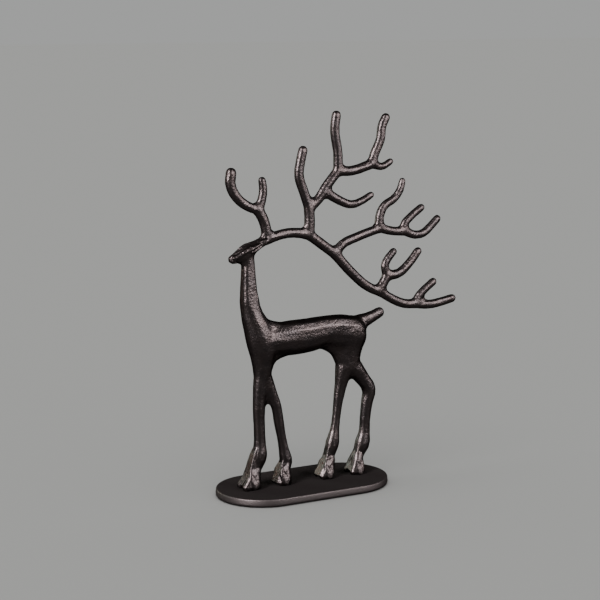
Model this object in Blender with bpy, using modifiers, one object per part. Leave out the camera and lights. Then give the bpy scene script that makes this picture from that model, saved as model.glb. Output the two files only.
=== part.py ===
"""Standing reindeer ornament: one casting with a flat spray of antlers, on a round-ended plate.

Run with: blender --background --python part.py

Units are metres, +Z up. The origin is the middle of the plate's underside. The deer stands along
X and faces -X, and its body, legs and antlers all lie close to the plane Y = 0.
Dimensions below are in millimetres and are scaled by MM where they enter Blender.
"""

import math

import bmesh
import bpy
from mathutils import Euler, Matrix, Vector

MM = 0.001

# --- Plate -----------------------------------------------------------------------------------
PLATE_LENGTH = 136.0
PLATE_WIDTH = 72.0
PLATE_THICKNESS = 6.0
PLATE_RIM_RADIUS = 2.4          # the rim is nearly a full half round
PLATE_ARC_STEPS = 24            # segments in each round end
PLATE_RIM_STEPS = 4

# --- Fit and mesh density --------------------------------------------------------------------
FIT_GAP = 0.3                   # between the hooves and the plate
SOLE_HEIGHT = PLATE_THICKNESS + FIT_GAP
FUSE_CELL = 0.8                 # cell size of the surface that fuses the limbs
FUSE_SMOOTHING = 3
CROTCH_FILLET = 1.8             # radius of the fillets where limbs and branches meet
REINDEER_TRIANGLES = 8600
TUBE_SIDES_RESOLUTION = 4       # bevel resolution of a limb: 16 sides
TUBE_SPAN_STEPS = 8

# --- Proportions across the deer (Y) as a share of the width seen from the side ----------------
BODY_DEPTH = 0.78
NECK_DEPTH = 0.85
LEG_DEPTH = 0.88
HEAD_DEPTH = 0.86
ANTLER_DEPTH = 0.86

# --- Trunk: routes of (x, z, width) through the middle of each form ----------------------------
TORSO = ((-30, 115.2, 22.5), (-14, 114.8, 26), (4, 115.3, 26), (18, 116.6, 24.6), (32, 115.4, 27), (41, 114.2, 26))
NECK = (
    (-42.6, 176, 9.8), (-42.6, 160, 11.4), (-42.2, 148, 13.4), (-40.4, 136, 16.6),
    (-36, 124, 21), (-32.5, 112, 22.5), (-32, 100, 17.6), (-32.6, 88, 13.2), (-34, 77, 10.4),
)
HAUNCH = ((41, 113, 26), (39.6, 101, 21.2), (39, 90, 18.4))
HEAD = ((-54.7, 176, 7.4), (-50.4, 177.6, 10.3), (-43.7, 181.2, 12.2), (-36.5, 184.6, 8.8), (-27.5, 188.8, 7.8))
TAIL = ((47, 120.5, 13), (57, 123.6, 10.2), (65.8, 127.2, 8.8))
WITHERS = ((-36, 128, 14), (-27.5, 122.8, 15.2), (-14, 116.5, 20.5))
GIRTH = ((-30, 96, 12), (-24.5, 103, 11), (-14, 107.5, 12))
FLANK = ((20, 110, 14), (29, 103.4, 13), (35, 94, 14))

# --- Legs, from the trunk to the fetlock and the pastern ---------------------------------------
LEGS = {
    "leading foreleg": (
        (-33.4, 86, 12), (-35, 75, 10.3), (-35.5, 63, 9.7), (-35.3, 50, 9.1),
        (-35.1, 38, 9.8), (-35.8, 29.5, 12.6), (-39, 21, 10.4),
    ),
    "trailing foreleg": (
        (-30, 88, 10.6), (-25.4, 76, 9.2), (-21.2, 64.5, 8.4), (-19.3, 53, 8.2),
        (-17.3, 42, 7.5), (-15.3, 31, 8.4), (-13.8, 23, 10.2), (-14.8, 17, 9),
    ),
    "leading hind leg": (
        (36, 88, 15), (33.4, 78, 11), (30.9, 66, 8.5), (28.9, 52, 7.2),
        (27.3, 41, 8), (25.2, 31, 11), (22.8, 22.5, 8.8),
    ),
    "trailing hind leg": (
        (44, 87, 14.6), (51.4, 78, 11.6), (56.8, 69.2, 11.2), (55.1, 59, 9.7),
        (53.6, 48, 8.9), (52.9, 37, 9.3), (51, 28, 12.2), (47.8, 20, 9.2),
    ),
}

# --- Cloven hooves: each has two toes that spread forwards and out from the pastern ------------
HOOVES = {                      # x of the pastern, of the toe tips and of the heel, and the spread
    "leading foreleg": (-39.5, -48.5, -40.5, 4.6),
    "trailing foreleg": (-15.2, -19.6, -15.2, 4.0),
    "leading hind leg": (22.4, 15.4, 20.4, 4.4),
    "trailing hind leg": (46.6, 41.2, 46.8, 4.4),
}
PASTERN_HEIGHT = 19.0
TOE_HEIGHT = SOLE_HEIGHT + 1.8
HEEL_HEIGHT = SOLE_HEIGHT + 2.6
TOE_WIDTH = 7.4
HEEL_WIDTH = 8.4

# --- Ears: flat leaves laid back beside the antler root ----------------------------------------
EAR_CENTRE = (-32.5, 4.2, 186.6)
EAR_SIZE = (11.5, 2.6, 5.0)
EAR_PITCH = math.radians(27)
EAR_FLARE = math.radians(14)

# --- Antler forks (x, z) -----------------------------------------------------------------------
CROWN = (-27, 188.5)
BROW_FORK = (-34, 210.3)
REAR_FORK = (7, 189.5)
TOP_FORK = (7, 209)
BEZ_FORK = (21.5, 224.5)
BEZ_ROOT = (19, 221)
SUMMIT_FORK = (31, 235)
SUMMIT_REAR_FORK = (60, 239)
MIDDLE_FORK = (28, 174.2)
FAN_FORK = (66.3, 190.8)
FAN_REAR_FORK = (88.7, 186.8)
LOWER_FORK = (68.5, 141.6)
LOWER_HAND_ROOT = (65.5, 143.5)
LOWER_HAND_FORK = (73, 154.8)
END_FORK = (98, 131)

# Each branch: the points from its root to its tip, the width at its root, the width at its end.
BRANCHES = (
    # The beam: over the neck, then down and back behind the head
    ((CROWN, (-13.5, 191.8), (-2, 191.6), REAR_FORK), 7.8, 8.2),
    ((REAR_FORK, (18.5, 181.2), MIDDLE_FORK), 8.2, 8.2),
    ((MIDDLE_FORK, (43.2, 158.2), (54.8, 148.4), LOWER_FORK), 8.3, 7.5),
    ((LOWER_FORK, (77.8, 136.2), (87.3, 132.2), END_FORK), 7.5, 7.8),
    ((END_FORK, (110, 129.6), (120, 130.6), (130.5, 132.6)), 7.8, 7.1),
    ((END_FORK, (99.5, 135.4), (105, 140.8), (113.4, 146.8)), 6.9, 6.8),
    # Front pair over the brow
    ((CROWN, (-29.3, 201), BROW_FORK), 8.3, 8.5),
    ((BROW_FORK, (-41, 212.6), (-51, 220.2), (-55.6, 229.5), (-55, 237.6)), 7.3, 8.5),
    ((BROW_FORK, (-31.2, 217), (-29.9, 224.5), (-30.8, 231.2)), 7.6, 6.4),
    # Tall rear stem and its crown
    ((REAR_FORK, (7.4, 199.7), TOP_FORK), 8.5, 8.5),
    ((TOP_FORK, (3, 220.6), (-1, 233), (0.6, 244.5), (2.3, 251.2)), 7.9, 7.7),
    ((TOP_FORK, (14.6, 215), BEZ_FORK, SUMMIT_FORK), 7.8, 7.8),
    ((SUMMIT_FORK, (31, 248), (28.5, 265), (29.9, 275.6)), 7.8, 7.6),
    ((SUMMIT_FORK, (42, 234.6), SUMMIT_REAR_FORK), 8, 7.9),
    ((SUMMIT_REAR_FORK, (61.4, 245), (66.8, 256.5), (68.2, 266.4), (71.4, 272.6)), 7.8, 7.4),
    ((SUMMIT_REAR_FORK, (67.5, 236.4), (75.4, 240)), 6.4, 5.8),
    ((BEZ_ROOT, (26, 216.8), (35.5, 211.8), (42, 209.8), (50, 211.6), (58.8, 216)), 8, 6),
    # Middle fan
    ((MIDDLE_FORK, (34.5, 180.8), (45.2, 184.9), FAN_FORK), 7.7, 7.5),
    ((FAN_FORK, (66.2, 199), (70, 207), (79, 212.4), (84.2, 219.2), (85.8, 225)), 7.8, 6),
    ((FAN_FORK, (76, 188.2), FAN_REAR_FORK), 7.4, 7.2),
    ((FAN_REAR_FORK, (87.6, 192), (93, 197.6), (102.4, 204.2)), 7, 6.5),
    ((FAN_REAR_FORK, (97, 183.8), (104.5, 184.8), (112, 190.6), (116.6, 194.8)), 7.2, 6.7),
    # Lower hand
    ((LOWER_HAND_ROOT, (68.6, 148), LOWER_HAND_FORK), 8.4, 7.8),
    ((LOWER_HAND_FORK, (70.8, 162.4), (73.6, 167.6), (78.2, 172.4)), 7.2, 6.4),
    ((LOWER_HAND_FORK, (82, 155.4), (92, 162.6), (99.6, 171.2)), 8, 7),
)

PLATE_COLOUR = (0.010, 0.009, 0.010, 1.0)
CASTING_COLOUR = (0.030, 0.024, 0.024, 1.0)


def material(name, colour, roughness, metallic):
    mat = bpy.data.materials.new(name)
    mat.use_nodes = True
    shader = mat.node_tree.nodes["Principled BSDF"]
    shader.inputs["Base Color"].default_value = colour
    shader.inputs["Roughness"].default_value = roughness
    shader.inputs["Metallic"].default_value = metallic
    return mat


def collection(name):
    group = bpy.data.collections.new(name)
    bpy.context.scene.collection.children.link(group)
    return group


def evaluated_mesh(obj):
    """A copy of the object's mesh as the viewport shows it."""
    depsgraph = bpy.context.evaluated_depsgraph_get()
    return bpy.data.meshes.new_from_object(obj.evaluated_get(depsgraph))


def add_ball(form, centre, size, turn=Matrix.Identity(4)):
    """Add an ellipsoid of the given full size to the form."""
    scale = Matrix.Diagonal((*size, 1.0))
    placed = Matrix.Translation(centre) @ turn @ scale @ Matrix.Scale(MM, 4)
    placed.translation = Vector(centre) * MM
    bmesh.ops.create_uvsphere(form, u_segments=20, v_segments=12, radius=0.5, matrix=placed)


def add_tube(form, points, widths, depth):
    """Add a tube through 3-D points to the form, with a ball at each end; depth scales it in Y."""
    curve = bpy.data.curves.new("limb", "CURVE")
    curve.dimensions = "3D"
    curve.bevel_depth = MM
    curve.bevel_resolution = TUBE_SIDES_RESOLUTION
    curve.resolution_u = TUBE_SPAN_STEPS
    curve.use_fill_caps = True
    spline = curve.splines.new("BEZIER")
    spline.radius_interpolation = "CARDINAL"
    spline.bezier_points.add(len(points) - 1)
    for knot, point, width in zip(spline.bezier_points, points, widths):
        knot.co = Vector(point) * MM
        knot.radius = width / 2
        knot.handle_left_type = "AUTO"
        knot.handle_right_type = "AUTO"
    guide = bpy.data.objects.new("limb", curve)
    bpy.context.scene.collection.objects.link(guide)
    tube = evaluated_mesh(guide)
    bpy.data.objects.remove(guide)
    bpy.data.curves.remove(curve)

    piece = bmesh.new()
    piece.from_mesh(tube)
    bmesh.ops.remove_doubles(piece, verts=piece.verts, dist=0.01 * MM)
    middle = sum(point[1] for point in points) / len(points) * MM
    for vert in piece.verts:
        vert.co.y = middle + (vert.co.y - middle) * depth
    bmesh.ops.recalc_face_normals(piece, faces=piece.faces)
    piece.to_mesh(tube)
    piece.free()
    form.from_mesh(tube)
    bpy.data.meshes.remove(tube)
    for point, width in ((points[0], widths[0]), (points[-1], widths[-1])):
        add_ball(form, point, (width, width * depth, width))


def add_route(form, route, depth):
    """Add a tube along a route of (x, z, width) in the plane Y = 0."""
    add_tube(form, [(x, 0, z) for x, z, _ in route], [width for _, _, width in route], depth)


def add_branch(form, points, root_width, tip_width):
    """Add an antler branch whose width runs evenly from its root to its tip."""
    last = len(points) - 1
    widths = [root_width + (tip_width - root_width) * i / last for i in range(last + 1)]
    add_tube(form, [(x, 0, z) for x, z in points], widths, ANTLER_DEPTH)


def add_hoof(form, pastern_x, toe_x, heel_x, spread):
    """Add the two toes of a cloven hoof, each with its own heel."""
    for side in (-1, 1):
        pastern = (pastern_x, side * spread * 0.25, PASTERN_HEIGHT)
        instep = ((pastern_x + toe_x) / 2, side * spread * 0.75, (PASTERN_HEIGHT + TOE_HEIGHT) / 2)
        toe = (toe_x, side * spread, TOE_HEIGHT)
        heel = (heel_x, side * spread * 0.8, HEEL_HEIGHT)
        add_tube(form, (pastern, instep, toe), (8.6, TOE_WIDTH, TOE_WIDTH * 0.86), 1.0)
        add_tube(form, (pastern, heel), (7.6, HEEL_WIDTH), 1.0)
        add_tube(form, (heel, toe), (HEEL_WIDTH, TOE_WIDTH * 0.86), 1.0)


def add_ears(form):
    for side in (-1, 1):
        x, y, z = EAR_CENTRE
        turn = Euler((0, -EAR_PITCH, side * EAR_FLARE), "XYZ").to_matrix().to_4x4()
        add_ball(form, (x, side * y, z), EAR_SIZE, turn)


def fuse(form, offsets=()):
    """The mesh of one closed surface round all the overlapping forms.

    Each offset then moves the surface along its normals and closes it again: out and back in by
    the same distance leaves a fillet of that radius in every crotch.
    """
    mesh = bpy.data.meshes.new("forms")
    form.to_mesh(mesh)
    form.free()
    obj = bpy.data.objects.new("forms", mesh)
    bpy.context.scene.collection.objects.link(obj)
    for offset in (0, *offsets):
        if offset:
            shift = obj.modifiers.new("Offset", "DISPLACE")
            shift.strength = offset * MM
            shift.mid_level = 0
        skin = obj.modifiers.new("Fuse", "REMESH")
        skin.mode = "VOXEL"
        skin.voxel_size = FUSE_CELL * MM
        soften = obj.modifiers.new("Soften", "SMOOTH")
        soften.factor = 0.5
        soften.iterations = FUSE_SMOOTHING
    fused = evaluated_mesh(obj)
    bpy.data.objects.remove(obj)
    bpy.data.meshes.remove(mesh)
    return fused


def cut_soles(obj, cutters):
    """Trim everything below the soles flat, clear of the plate."""
    bpy.ops.mesh.primitive_cube_add(size=1)
    ground = bpy.context.object
    ground.name = "sole_cutter"
    height = 20.0
    ground.scale = (2 * PLATE_LENGTH * MM, 2 * PLATE_WIDTH * MM, height * MM)
    ground.location.z = (SOLE_HEIGHT - height / 2) * MM
    ground.hide_render = True
    ground.display_type = "WIRE"
    for owner in ground.users_collection:
        owner.objects.unlink(ground)
    cutters.objects.link(ground)
    trim = obj.modifiers.new("Soles", "BOOLEAN")
    trim.operation = "DIFFERENCE"
    trim.solver = "EXACT"
    trim.object = ground


def make_reindeer(parts, cutters):
    form = bmesh.new()
    for route in (TORSO, HAUNCH, TAIL, WITHERS, GIRTH, FLANK):
        add_route(form, route, BODY_DEPTH)
    add_route(form, NECK, NECK_DEPTH)
    add_route(form, HEAD, HEAD_DEPTH)
    for route in LEGS.values():
        add_route(form, route, LEG_DEPTH)
    for points, root_width, tip_width in BRANCHES:
        add_branch(form, points, root_width, tip_width)
    filleted = fuse(form, (CROTCH_FILLET, -CROTCH_FILLET))

    form = bmesh.new()
    form.from_mesh(filleted)
    bpy.data.meshes.remove(filleted)
    for hoof in HOOVES.values():
        add_hoof(form, *hoof)
    add_ears(form)
    deer = bpy.data.objects.new("reindeer", fuse(form))
    deer.data.name = "reindeer"
    parts.objects.link(deer)
    thin = deer.modifiers.new("Thin", "DECIMATE")
    thin.ratio = REINDEER_TRIANGLES / (2 * len(deer.data.polygons))
    cut_soles(deer, cutters)
    deer.data.materials.append(material("dark bronze lacquer", CASTING_COLOUR, 0.35, 0.9))
    deer.data.shade_smooth()
    return deer


def make_plate(parts):
    """A disc cut across the middle, its halves drawn apart into round ends with straight sides."""
    radius = PLATE_WIDTH / 2
    mesh = bpy.data.meshes.new("base_plate")
    form = bmesh.new()
    bmesh.ops.create_cone(
        form, cap_ends=True, segments=2 * PLATE_ARC_STEPS,
        radius1=radius * MM, radius2=radius * MM, depth=PLATE_THICKNESS * MM,
        matrix=Matrix.Rotation(math.pi / (2 * PLATE_ARC_STEPS), 4, "Z"),
    )
    for vert in form.verts:
        vert.co.x += math.copysign(PLATE_LENGTH / 2 - radius, vert.co.x) * MM
        vert.co.z += PLATE_THICKNESS / 2 * MM
    form.to_mesh(mesh)
    form.free()
    plate = bpy.data.objects.new("base_plate", mesh)
    parts.objects.link(plate)
    rim = plate.modifiers.new("Rim", "BEVEL")
    rim.width = PLATE_RIM_RADIUS * MM
    rim.segments = PLATE_RIM_STEPS
    rim.limit_method = "ANGLE"
    rim.angle_limit = math.radians(60)
    mesh.materials.append(material("matt black lacquer", PLATE_COLOUR, 0.5, 0.6))
    return plate


def main():
    for obj in list(bpy.data.objects):
        bpy.data.objects.remove(obj)
    parts = collection("reindeer_figurine")
    cutters = collection("cutters")
    make_plate(parts)
    make_reindeer(parts, cutters)


main()
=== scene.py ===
"""Looks of the cast metal reindeer figurine on its oval plate.

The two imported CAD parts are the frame, and one piece dresses each of them. The casting is a copy of
its solid with fuller ears, muzzle and hooves laid in, under one fine skin: its sections are squared
off, and its flanks, neck and face are worked over with a modeller's strokes. The plate gets a
drafted edge with a tight upper rim. Sizes are millimetres in the frame's own axes: +X runs from the
muzzle to the tail, -Y is the deer's left side, +Z is up, and the plate's underside is at Z = 0.
"""

import math

import bmesh
import bpy
import numpy as np
from mathutils import Euler, Matrix, Vector


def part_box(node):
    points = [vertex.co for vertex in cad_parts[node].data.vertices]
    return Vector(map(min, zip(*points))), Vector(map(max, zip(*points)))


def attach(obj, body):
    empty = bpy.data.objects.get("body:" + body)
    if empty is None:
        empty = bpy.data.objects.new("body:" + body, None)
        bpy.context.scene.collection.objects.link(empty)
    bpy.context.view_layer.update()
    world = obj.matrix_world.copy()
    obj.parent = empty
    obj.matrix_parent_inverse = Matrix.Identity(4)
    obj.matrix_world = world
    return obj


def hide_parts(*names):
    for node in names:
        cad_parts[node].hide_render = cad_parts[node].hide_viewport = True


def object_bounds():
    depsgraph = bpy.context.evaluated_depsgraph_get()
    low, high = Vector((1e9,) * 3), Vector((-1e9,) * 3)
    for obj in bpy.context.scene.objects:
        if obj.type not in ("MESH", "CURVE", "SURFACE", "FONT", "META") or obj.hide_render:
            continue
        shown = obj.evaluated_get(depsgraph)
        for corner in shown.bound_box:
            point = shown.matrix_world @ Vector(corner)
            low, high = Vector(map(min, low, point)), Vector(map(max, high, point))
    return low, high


MM = 0.001

# --- The skin of the casting ---------------------------------------------------------------------
WELD = 0.0005                   # corners of the CAD triangles this close are one corner
SKIN_CELL = 0.5                 # finer than the finest stroke
SKIN_TRIANGLES = 194000
SKIN_SMOOTHING = 30             # pairs of an inward and an outward pass, which keep the volume
SMOOTH_IN = 1.0
SMOOTH_OUT = -1.04
STROKE_STEP = 1.0               # between the points of a stroke once it lies on the skin
DROP_FROM = 60.0                # how far out a stroke starts before it drops on the skin
FULL_FACING = 0.55              # a stroke fades where the skin turns away from it

WAVE_SIZE = 4.0                 # the uneven surface that the modeller's thumb leaves in the wax
WAVE_HEIGHT = 0.1

# --- The plate's edge ----------------------------------------------------------------------------
PLATE_ARC_STEPS = 72            # segments in each round end
PLATE_RIM_STEPS = 6
PLATE_DRAFT = 0.6               # the edge leans in by this much from foot to top
PLATE_RIM_RADIUS = 0.9
PLATE_FOOT_RADIUS = 2.4
PLATE_LEVEL = 0.01              # an edge this close to the top or the foot lies on it

# --- Sections: routes of (x, z, half width) through the middle of each form ----------------------
SECTION_MOST = 1.5              # the most that flat sides widen any place
SECTION_EDGE = 0.97             # share of the half width past which the widening stays the same
TRUNK_ROUTE = (
    (-27, 114.8, 13), (-14, 114.8, 13.2), (4, 115.3, 13.2), (18, 116.4, 12.8), (32, 115.6, 13.6),
    (60, 114, 13.6),
)
TRUNK_FADE = 22.0
TRUNK_SQUARENESS = (2.9, 2.0)   # on the left and right of the route: 2 is an ellipse, more is flatter
TRUNK_TAPER = 0.05              # the flank draws in towards the belly
NECK_ROUTE = (
    (-42.8, 178, 4.9), (-42.8, 168, 5.3), (-42.6, 160, 5.8), (-42.2, 148, 6.8), (-40.4, 134, 8.4),
)
NECK_FADE = 13.0
NECK_SQUARENESS = (4.0, 3.0)
NECK_TAPER = -0.05              # it is a little narrower at the back
HEAD_ROUTE = (                  # along the brow line, from the nostril to the antler root
    (-57, 176.3, 4), (-55, 177.5, 4.2), (-51, 179.2, 5), (-46.7, 182, 5.4), (-40.7, 185, 4.8),
    (-33, 188, 4),
)
HEAD_FADE = 4.0
HEAD_SQUARENESS = (1.0, 2.0)    # a roof above the brow, a full cheek below it
HEAD_TAPER = 0.0                # the roof and the cheek are given by the squareness alone

# --- Strokes on both flanks: route of (x, z), reach to either side, height -----------------------
TRUNK_STROKES = (
    # hollow of the flank in front of the haunch, and the rump behind it
    (((22, 109), (29, 113)), 10, -0.5),
    (((45, 119), (49, 108)), 7, 0.6),
)
NECK_FOLDS = 4
NECK_FOLD = ((-43.6, 150.8), (-38.6, 152.2))        # the lowest fold across the side of the neck
NECK_FOLD_STEP = (-0.15, 2.1)   # from one fold to the next
NECK_FOLD_REACH = 0.9
NECK_FOLD_HEIGHT = 0.11
HEAD_STROKES = (
    # brow line from the nostril to the antler root
    (((-54.6, 177.2), (-51, 178.8), (-46.7, 181.6), (-42, 184.2)), 2.4, 0.8),
    # the hollow of the forehead above it
    (((-55.4, 180.2), (-51.4, 182.6), (-47.2, 185), (-43, 187)), 2.4, -0.45),
    # nostril wing and the lip line
    (((-55.2, 177.1),), 1.5, 0.35),
    (((-58, 174.6), (-55.2, 173.9), (-52.6, 174.4)), 1.1, -0.3),
)
MUZZLE_STROKES = (
    # the nostril on the front corner of the muzzle, as (x, y, z)
    (((-57.4, 2.6, 177.4), (-57, 3.2, 176)), 1.4, -0.4),
)
EAR_STROKES = (
    # the ear leaf: its raised edges and the hollow between them
    (((-43.4, 181.6), (-40, 183.8), (-35, 186.4)), 0.9, 0.3),
    (((-41.6, 180), (-37.6, 181.8), (-33.6, 184.6)), 0.9, 0.3),
    (((-41.4, 181.4), (-37.4, 183.4), (-34.4, 185)), 1.1, -0.7),
)

# --- Forms laid in before the skin, on either side: places of (x, y, z) --------------------------
EAR_SIZE = (13, 2.8, 4.4)
EAR_CENTRE = (-38.9, 4.5, 183.4)
EAR_PITCH = math.radians(-26)
EAR_SEGMENTS = (32, 20)
MUZZLE_CORNERS = (
    # the blunt front of the muzzle and the full cheeks behind it
    (-57.6, 1.7, 177.6), (-57.5, 1.8, 174.6), (-53.5, 3.6, 179), (-53.5, 3.6, 173.2),
)
HOOF_FRONTS = (
    # (x, z) from the fetlock down to the toe
    ((-39.4, 35.8), (-41.8, 31), (-43.8, 25), (-46, 17.6), (-50.4, 8.6)),
    ((-17.4, 24.6), (-19.2, 20.8), (-21.2, 15.6), (-23, 10), (-23.6, 7.6)),
    ((20.4, 29.4), (18.8, 22.6), (16, 16.4), (12.6, 10.6), (11.6, 8.4)),
    ((46.4, 28), (44.6, 22.4), (41.6, 15.8), (38.9, 10.4), (38.4, 8.6)),
)
HOOF_HALF_WIDTHS = (3, 3.6, 4.2, 4.8, 5)
HOOF_DEPTH = 5.5                # of the wall behind the flat front
PAD_MIDDLES = ((-42.4, 13.8), (-17.2, 13.6), (19.4, 13.2), (45.4, 12.6))
PAD_SIZE = (7.8, 14.4)          # the flat oval on either side of each hoof
PAD_OUT = 6.5                   # from the middle of the hoof to the middle of the oval
PAD_LEAN = 0.26                 # how much it draws in for each millimetre of height
PAD_DOME = 0.6                  # how far its crown stands out
PAD_CROWN = 0.55                # the crown's share of the oval
PAD_CORNERS = 16
PAD_DENT = ((-1.2, 2.6), (0.2, -0.6), (1.6, 2.8))   # a shallow V pressed in its middle
PAD_DENT_REACH = 0.9
PAD_DENT_HEIGHT = -0.3

# --- Patterns in the lacquer and the metal -------------------------------------------------------
SAND_GRAIN = 0.5                # the grain that the sand of the mould leaves
GRAIN_DRAWN = 2.8               # how many times coarser it is drawn, so that it shows
GRAIN_HEIGHT = 0.27
TINT_CLOUD = 9.0                # across a cloud of warmer or cooler lacquer
LACQUER_PATCH = 5.0             # across a patch of thicker lacquer
RUBBED_PATCH = 1.4              # across an unevenness of the rubbed plate
RUBBED_HEIGHT = 0.12

# --- Studio: metres and degrees ------------------------------------------------------------------
FLOOR_SIZE = 40.0               # from its middle to an edge
ANTLER_ROOT = 0.19              # the height that the near softboxes face
EVEN_LIGHT_ANGLE = 60           # so wide that its shadows have no edge
EVEN_LIGHT_SLANT = (0.25, 0.25, -1)
CAMERA_PLACE = (-0.5327, -1.0214, 0.337)
CAMERA_TURN = 27.5              # round from square to the left flank, towards the muzzle
CAMERA_DROP = 9.6               # below the level
CAMERA_ROLL = 0.45
CAMERA_LENS = 96                # millimetres


def linear(hex_code):
    """The linear red, green, blue and alpha of an sRGB hex colour."""
    channels = [int(hex_code[i : i + 2], 16) / 255 for i in (1, 3, 5)]
    return [c / 12.92 if c <= 0.04045 else ((c + 0.055) / 1.055) ** 2.4 for c in channels] + [1.0]


def add_node(tree, kind, settings=None, **links):
    """Adds a shader node, sets its properties and sockets, and links its inputs."""
    node = tree.nodes.new(kind)
    for name, value in (settings or {}).items():
        if name in node.inputs:
            node.inputs[name].default_value = value
        else:
            setattr(node, name, value)
    for name, source in links.items():
        tree.links.new(source, node.inputs[name.replace("_", " ")])
    return node


# --- Forms ---------------------------------------------------------------------------------------
def work_in(form):
    """Makes the modifiers of a form part of its mesh."""
    form.update_tag()
    graph = bpy.context.evaluated_depsgraph_get()
    mesh = bpy.data.meshes.new_from_object(form.evaluated_get(graph), depsgraph=graph)
    form.modifiers.clear()
    form.data = mesh
    return form


def new_form(name, shape):
    """Turns a bmesh into an object of the scene."""
    mesh = bpy.data.meshes.new(name)
    shape.to_mesh(mesh)
    shape.free()
    form = bpy.data.objects.new(name, mesh)
    bpy.context.scene.collection.objects.link(form)
    return form


def merged_copy(node):
    """A copy of a CAD node with its loose triangles welded."""
    shape = bmesh.new()
    shape.from_mesh(node.data)
    bmesh.ops.remove_doubles(shape, verts=shape.verts, dist=WELD * MM)
    return shape


def add_hull(shape, corners):
    """Lays in the tightest closed form around a few corners."""
    verts = [shape.verts.new(Vector(corner) * MM) for corner in corners]
    bmesh.ops.convex_hull(shape, input=verts)


def refine(form):
    """Lays a fine, even skin over a form."""
    remesh = form.modifiers.new("fine cells", "REMESH")
    remesh.mode = "VOXEL"
    remesh.voxel_size = SKIN_CELL * MM
    return work_in(form)


def round_off(form):
    """Rounds the facets off a skin and keeps its volume."""
    for _ in range(SKIN_SMOOTHING):
        for factor in (SMOOTH_IN, SMOOTH_OUT):
            smooth = form.modifiers.new("round off facets", "SMOOTH")
            smooth.factor = factor
            smooth.iterations = 1
    return work_in(form)


def thin_out(form, triangles):
    """Takes triangles away where the skin is flattest."""
    form.data.calc_loop_triangles()
    count = len(form.data.loop_triangles)
    if count > triangles:
        decimate = form.modifiers.new("thin out", "DECIMATE")
        decimate.use_collapse_triangulate = True
        decimate.ratio = triangles / count
        work_in(form)
    return form


def skin_places(form):
    """The places of the skin's vertices in millimetres, and its normals."""
    count = len(form.data.vertices)
    places = np.empty(3 * count, np.float32)
    form.data.vertices.foreach_get("co", places)
    normals = np.empty(3 * count, np.float32)
    form.data.vertex_normals.foreach_get("vector", normals)
    return places.reshape(-1, 3).astype(float) / MM, normals.reshape(-1, 3).astype(float)


def set_places(form, places):
    """Moves the skin's vertices to places in millimetres."""
    form.data.vertices.foreach_set("co", (places * MM).astype(np.float32).ravel())
    form.data.update()


def laid_on_skin(form, route, direction):
    """Drops a route on the skin along a direction, point after point."""
    stops = [Vector(stop) for stop in route]
    points = [stops[0]]
    for start, end in zip(stops, stops[1:]):
        steps = max(1, math.ceil((end - start).length / STROKE_STEP))
        points += [start.lerp(end, step / steps) for step in range(1, steps + 1)]
    landed = []
    for point in points:
        hit, place, _, _ = form.ray_cast(point * MM, direction)
        if hit:
            landed.append(np.array(place) / MM)
    return np.array(landed)


def touch(places, path, reach):
    """How strongly a stroke along a path touches each place: 1 on the path, 0 past its reach."""
    weight = np.zeros(len(places))
    near = np.all((places > path.min(0) - reach) & (places < path.max(0) + reach), axis=1)
    touched = places[near]
    distance = np.linalg.norm(touched - path[0], axis=1)
    for start, end in zip(path, path[1:]):
        run = end - start
        along = np.clip((touched - start) @ run / max(run @ run, 1e-9), 0, 1)
        distance = np.minimum(distance, np.linalg.norm(touched - start - along[:, None] * run, axis=1))
    weight[near] = (1 - np.minimum(distance / reach, 1) ** 2) ** 2
    return weight


def model_strokes(form, strokes):
    """Raises or cuts the skin along strokes of (route, direction, reach, height)."""
    places, normals = skin_places(form)
    lift = np.zeros(len(places))
    for route, direction, reach, height in strokes:
        path = laid_on_skin(form, route, direction)
        if len(path):
            facing = np.clip(normals @ -np.array(direction) / FULL_FACING, 0, 1)
            lift += height * facing * touch(places, path, reach)
    set_places(form, places + normals * lift[:, None])


def on_both_flanks(strokes):
    """Strokes of (x, z) routes, dropped on the skin from either side."""
    return [
        ([(x, side * DROP_FROM, z) for x, z in route], (0, -side, 0), reach, height)
        for route, reach, height in strokes
        for side in (-1, 1)
    ]


def neck_folds():
    """Folds of skin across the side of the neck, one above the other."""
    along, up = NECK_FOLD_STEP
    return [
        ([(x + fold * along, z + fold * up) for x, z in NECK_FOLD], NECK_FOLD_REACH, NECK_FOLD_HEIGHT)
        for fold in range(NECK_FOLDS)
    ]


def pad_dents():
    """The V pressed in each hoof pad."""
    return [
        ([(x + across, z + up) for across, up in PAD_DENT], PAD_DENT_REACH, PAD_DENT_HEIGHT)
        for x, z in PAD_MIDDLES
    ]


def on_the_muzzle(strokes):
    """Strokes of (x, y, z) routes, dropped on the skin from the front left and the front right."""
    drops = []
    for side in (-1, 1):
        direction = Vector((1, -side, 0)).normalized()
        for route, reach, height in strokes:
            starts = [Vector((x, side * y, z)) - direction * DROP_FROM for x, y, z in route]
            drops.append((starts, direction, reach, height))
    return drops


def level_soles(form, height):
    """Levels what lies below the soles, so that the hooves stand flat on the plate."""
    places, _ = skin_places(form)
    places[:, 2] = np.maximum(places[:, 2], height / MM)
    set_places(form, places)


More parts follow.
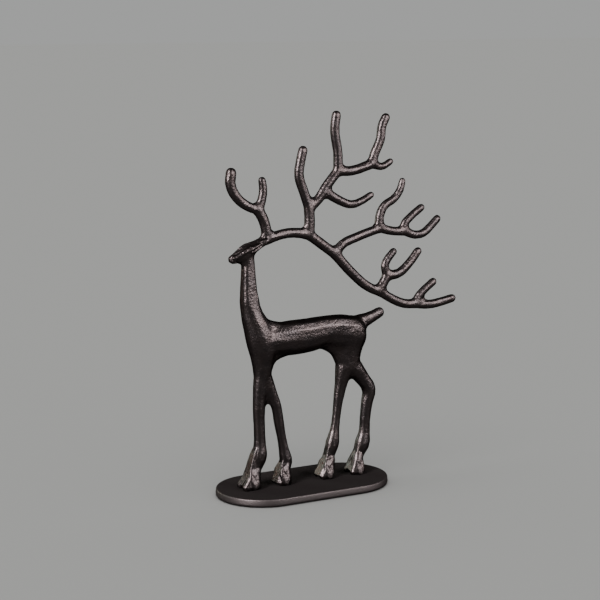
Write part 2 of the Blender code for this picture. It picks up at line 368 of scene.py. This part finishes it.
def section(form, route, fade, squareness, taper):
    """Reshapes the sections across a route of (x, z, half width) that fades in and out.

    Squareness above 2 flattens the sides of the oval to the left and right of the route; taper
    widens it on the left and narrows it on the right. Lengths across the route stay as they are.
    """
    places, _ = skin_places(form)
    flat = places[:, [0, 2]]
    nearest = np.full(len(flat), np.inf)
    offset, along = np.zeros(len(flat)), np.zeros(len(flat))
    length = 0.0
    for start, end in zip(route, route[1:]):
        run = np.subtract(end[:2], start[:2])
        step = np.hypot(*run)
        share = np.clip((flat - start[:2]) @ run / step**2, 0, 1)
        away = flat - start[:2] - share[:, None] * run
        distance = np.hypot(*away.T)
        half = start[2] + share * (end[2] - start[2])
        closer = distance < nearest
        nearest[closer] = distance[closer]
        side = np.sign(run[0] * away[:, 1] - run[1] * away[:, 0])
        offset[closer] = (side * distance / half)[closer]
        along[closer] = (length + share * step)[closer]
        length += step
    reach = np.clip(np.abs(offset), 0, SECTION_EDGE)
    power = np.where(offset > 0, *squareness)
    squared = np.minimum((1 - reach**power) ** (1 / power) / np.sqrt(1 - reach**2), SECTION_MOST)
    # past the half width, the squaring ends within a fifth of it and the taper within the whole of it
    widen = (squared - 1) * np.clip(6 - 5 * np.abs(offset), 0, 1)
    widen += taper * np.clip(offset, -1, 1) * np.clip(2 - np.abs(offset), 0, 1)
    within = np.clip(np.minimum(along, length - along) / fade, 0, 1)
    places[:, 1] *= 1 + widen * within**2 * (3 - 2 * within)
    set_places(form, places)


def add_waves(form):
    """A slight unevenness, as in wax worked by hand."""
    waves = bpy.data.textures.new("wax_waves", "CLOUDS")
    waves.noise_scale = WAVE_SIZE * MM
    waves.noise_depth = 1
    uneven = form.modifiers.new("wax waves", "DISPLACE")
    uneven.texture = waves
    uneven.texture_coords = "LOCAL"
    uneven.strength = WAVE_HEIGHT * MM
    uneven.mid_level = 0.5
    work_in(form)


def add_ears(shape):
    """The leaf of each ear, laid against the side of the head."""
    x, y, z = EAR_CENTRE
    for side in (-1, 1):
        place = Matrix.Translation(Vector((x, side * y, z)) * MM) @ Matrix.Rotation(EAR_PITCH, 4, "Y")
        bmesh.ops.create_uvsphere(
            shape, u_segments=EAR_SEGMENTS[0], v_segments=EAR_SEGMENTS[1], radius=0.5,
            matrix=place @ Matrix.Diagonal((*(Vector(EAR_SIZE) * MM), 1)),
        )


def add_muzzle(shape):
    """The blunt front of the muzzle and the cheeks behind it."""
    add_hull(shape, [(x, side * y, z) for x, y, z in MUZZLE_CORNERS for side in (-1, 1)])


def add_hoof_fronts(shape):
    """The flat front of each hoof, which broadens from the fetlock to the toe."""
    for front in HOOF_FRONTS:
        stations = list(zip(front, HOOF_HALF_WIDTHS))
        for upper, lower in zip(stations, stations[1:]):
            add_hull(shape, [
                (x + setback, side * half, z)
                for (x, z), half in (upper, lower) for setback in (0, HOOF_DEPTH) for side in (-1, 1)
            ])


def add_hoof_pads(shape):
    """An oval pad on either side of each hoof: a little domed, and leaning in to the fetlock."""
    width, height = PAD_SIZE
    # ovals inside the hoof, round the pad and round its crown: distance out, share of the pad, lean
    ovals = ((0, 1, 0), (PAD_OUT, 1, PAD_LEAN), (PAD_OUT + PAD_DOME, PAD_CROWN, PAD_LEAN))
    for x, z in PAD_MIDDLES:
        for side in (-1, 1):
            verts = []
            for out, share, lean in ovals:
                # a circle's X becomes the way along the deer, and its Y the way up the pad
                upright = Matrix((
                    (share * width, 0, 0, x),
                    (0, -side * lean * share * height, side, side * out),
                    (0, share * height, 0, z),
                    (0, 0, 0, 1),
                ))
                verts += bmesh.ops.create_circle(
                    shape, segments=PAD_CORNERS, radius=0.5, matrix=Matrix.Scale(MM, 4) @ upright,
                )["verts"]
            bmesh.ops.convex_hull(shape, input=verts)


def make_reindeer(node):
    """The casting: form by form, then its skin, its sections and the strokes on it."""
    shape = merged_copy(node)
    add_ears(shape)
    add_muzzle(shape)
    add_hoof_fronts(shape)
    add_hoof_pads(shape)
    casting = refine(new_form("cast_reindeer", shape))
    section(casting, TRUNK_ROUTE, TRUNK_FADE, TRUNK_SQUARENESS, TRUNK_TAPER)
    section(casting, NECK_ROUTE, NECK_FADE, NECK_SQUARENESS, NECK_TAPER)
    section(casting, HEAD_ROUTE, HEAD_FADE, HEAD_SQUARENESS, HEAD_TAPER)
    round_off(casting)
    add_waves(casting)
    for strokes in (TRUNK_STROKES, neck_folds(), HEAD_STROKES, EAR_STROKES, pad_dents()):
        model_strokes(casting, on_both_flanks(strokes))
    model_strokes(casting, on_the_muzzle(MUZZLE_STROKES))
    level_soles(casting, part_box("reindeer")[0].z)
    thin_out(casting, SKIN_TRIANGLES)
    casting.data.shade_smooth()
    return casting


def make_plate():
    """The oval plate: a drafted edge with a tight upper rim and a full round below."""
    low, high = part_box("base_plate")
    radius = (high.y - low.y) / 2
    thickness = high.z - low.z
    spread = (high.x - low.x) / 2 - radius
    shape = bmesh.new()
    bmesh.ops.create_cone(
        shape, cap_ends=True, segments=2 * PLATE_ARC_STEPS,
        radius1=radius, radius2=radius - PLATE_DRAFT * MM, depth=thickness,
        matrix=Matrix.Rotation(math.pi / (2 * PLATE_ARC_STEPS), 4, "Z"),
    )
    # turned by half a segment, the disc is parted between corners and drawn out to the plate's length
    for vert in shape.verts:
        vert.co.x += math.copysign(spread, vert.co.x)
        vert.co.z += low.z + thickness / 2
    for edge_height, roundness in ((low.z, PLATE_FOOT_RADIUS), (high.z, PLATE_RIM_RADIUS)):
        edges = [
            edge for edge in shape.edges
            if all(abs(vert.co.z - edge_height) < PLATE_LEVEL * MM for vert in edge.verts)
        ]
        bmesh.ops.bevel(
            shape, geom=edges, offset=roundness * MM, segments=PLATE_RIM_STEPS,
            affect="EDGES", profile=0.5, material=-1,
        )
    plate = new_form("oval_plate", shape)
    plate.data.shade_smooth()
    return plate


# --- Finishes ------------------------------------------------------------------------------------
def cells(size):
    """Settings of a noise whose cells measure some millimetres across."""
    return {"Scale": 1 / (size * MM), "Detail": 2.0}


def cast_metal():
    """Sand-cast aluminium under a thin dark bronze lacquer: it shines like satin over a fine grain."""
    material = bpy.data.materials.new("bronze_lacquered_cast_aluminium")
    material.use_nodes = True
    tree = material.node_tree
    shader = tree.nodes["Principled BSDF"]
    shader.inputs["Metallic"].default_value = 1.0
    shader.inputs["Specular Tint"].default_value = linear("#5b5e5c")
    place = add_node(tree, "ShaderNodeTexCoord").outputs["Object"]
    # the lacquer runs from a warm brown to a cooler black in clouds of about a centimetre
    cloud = add_node(tree, "ShaderNodeTexNoise", cells(TINT_CLOUD), Vector=place)
    tone = add_node(tree, "ShaderNodeMix", {"data_type": "RGBA"}, Factor=cloud.outputs["Fac"])
    tone.inputs["A"].default_value = linear("#322b2a")
    tone.inputs["B"].default_value = linear("#292627")
    tree.links.new(tone.outputs["Result"], shader.inputs["Base Color"])
    # it lies thicker in some patches, where the metal shines less
    patch = add_node(tree, "ShaderNodeTexNoise", cells(LACQUER_PATCH), Vector=place)
    dullness = {"To Min": 0.26, "To Max": 0.4}
    gloss = add_node(tree, "ShaderNodeMapRange", dullness, Value=patch.outputs["Fac"])
    tree.links.new(gloss.outputs["Result"], shader.inputs["Roughness"])
    # the mould's sand grains of half a millimetre, drawn nearly three times as coarse so that they show
    grain = add_node(tree, "ShaderNodeTexNoise", cells(SAND_GRAIN * GRAIN_DRAWN), Vector=place)
    bump = add_node(tree, "ShaderNodeBump", {"Distance": GRAIN_HEIGHT * MM}, Height=grain.outputs["Fac"])
    tree.links.new(bump.outputs["Normal"], shader.inputs["Normal"])
    return material


def plate_metal():
    """Aluminium plate, rubbed flat under a black lacquer: dull and even, with a soft sheen on the rim."""
    material = bpy.data.materials.new("black_lacquered_plate_aluminium")
    material.use_nodes = True
    tree = material.node_tree
    shader = tree.nodes["Principled BSDF"]
    shader.inputs["Base Color"].default_value = linear("#363131")
    shader.inputs["Metallic"].default_value = 1.0
    shader.inputs["Specular Tint"].default_value = linear("#565654")
    shader.inputs["Roughness"].default_value = 0.5
    place = add_node(tree, "ShaderNodeTexCoord").outputs["Object"]
    # a faint unevenness from the rubbing, about a millimetre across
    rubbing = add_node(tree, "ShaderNodeTexNoise", cells(RUBBED_PATCH), Vector=place)
    bump = add_node(tree, "ShaderNodeBump", {"Distance": RUBBED_HEIGHT * MM}, Height=rubbing.outputs["Fac"])
    tree.links.new(bump.outputs["Normal"], shader.inputs["Normal"])
    return material


def floor_paint():
    """A plain pale matt floor."""
    material = bpy.data.materials.new("pale_floor_paint")
    material.use_nodes = True
    shader = material.node_tree.nodes["Principled BSDF"]
    shader.inputs["Base Color"].default_value = linear("#c9c9c7")
    shader.inputs["Roughness"].default_value = 0.9
    shader.inputs["Specular IOR Level"].default_value = 0.0
    return material


# --- Floor, light and camera ---------------------------------------------------------------------
def make_floor():
    """The plain floor under the plate."""
    shape = bmesh.new()
    bmesh.ops.create_grid(shape, x_segments=1, y_segments=1, size=FLOOR_SIZE)
    floor = new_form("floor", shape)
    floor.data.materials.append(floor_paint())


def add_softbox(name, azimuth, elevation, distance, size, power, aim, colour="#ffffff"):
    """A light for the metal to mirror; azimuth 0 is square to the left flank, 90 is behind the tail."""
    data = bpy.data.lights.new(name, "AREA")
    data.shape = "RECTANGLE"
    data.size, data.size_y = size
    data.energy = power
    data.color = linear(colour)[:3]
    light = bpy.data.objects.new(name, data)
    bpy.context.scene.collection.objects.link(light)
    turn, rise = math.radians(azimuth), math.radians(elevation)
    away = Vector((math.sin(turn) * math.cos(rise), -math.cos(turn) * math.cos(rise), math.sin(rise)))
    light.location = aim + away * distance
    light.rotation_mode = "QUATERNION"
    light.rotation_quaternion = (-away).to_track_quat("-Z", "Y")
    light.visible_diffuse = False


def make_light(centre):
    """Four softboxes that the metal mirrors, and a soft even light on the floor."""
    antler_root = Vector((centre.x, centre.y, ANTLER_ROOT))
    add_softbox("flank_softbox", 28, 19, 1.1, (0.6, 0.64), 33, antler_root)
    add_softbox("tail_softbox", 62, 8, 1.1, (0.12, 0.5), 7, antler_root)
    add_softbox("key_softbox", -66, 26, 1.5, (0.5, 1.0), 140, centre)
    add_softbox("front_softbox", -150, 9, 1.3, (0.8, 0.9), 85, centre, "#b6d6c8")
    even = bpy.data.lights.new("even_light", "SUN")
    even.energy = 0.9
    even.angle = math.radians(EVEN_LIGHT_ANGLE)
    lamp = bpy.data.objects.new("even_light", even)
    lamp.rotation_mode = "QUATERNION"
    lamp.rotation_quaternion = Vector(EVEN_LIGHT_SLANT).to_track_quat("-Z", "Y")
    lamp.visible_glossy = False
    bpy.context.scene.collection.objects.link(lamp)
    world = bpy.data.worlds.new("studio")
    world.use_nodes = True
    background = world.node_tree.nodes["Background"]
    background.inputs["Color"].default_value = linear("#b9bab9")
    background.inputs["Strength"].default_value = 0.8
    bpy.context.scene.world = world


def make_camera():
    """The camera, above the antlers and forward of the left flank, looking a little down."""
    data = bpy.data.cameras.new("camera")
    data.lens = CAMERA_LENS
    data.clip_start, data.clip_end = 0.05, 100
    camera = bpy.data.objects.new("camera", data)
    camera.location = CAMERA_PLACE
    aim = Euler((math.radians(90 - CAMERA_DROP), 0, math.radians(-CAMERA_TURN))).to_quaternion()
    roll = Euler((0, 0, math.radians(-CAMERA_ROLL))).to_quaternion()
    camera.rotation_mode = "QUATERNION"
    camera.rotation_quaternion = aim @ roll
    bpy.context.scene.collection.objects.link(camera)
    bpy.context.scene.camera = camera


def dress(piece, node_name, metal):
    """Gives a piece its metal and its place in the frame."""
    piece.data.materials.clear()
    piece.data.materials.append(metal)
    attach(piece, "root")
    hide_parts(node_name)


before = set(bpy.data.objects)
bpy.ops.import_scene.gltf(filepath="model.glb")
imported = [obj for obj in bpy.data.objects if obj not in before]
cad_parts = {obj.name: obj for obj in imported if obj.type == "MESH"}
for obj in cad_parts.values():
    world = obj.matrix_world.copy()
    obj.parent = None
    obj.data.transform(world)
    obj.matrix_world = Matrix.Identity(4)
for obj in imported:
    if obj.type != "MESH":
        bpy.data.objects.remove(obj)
cad_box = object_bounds()
centre = (cad_box[0] + cad_box[1]) / 2

dress(make_reindeer(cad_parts["reindeer"]), "reindeer", cast_metal())
dress(make_plate(), "base_plate", plate_metal())
make_floor()
make_light(centre)
make_camera()
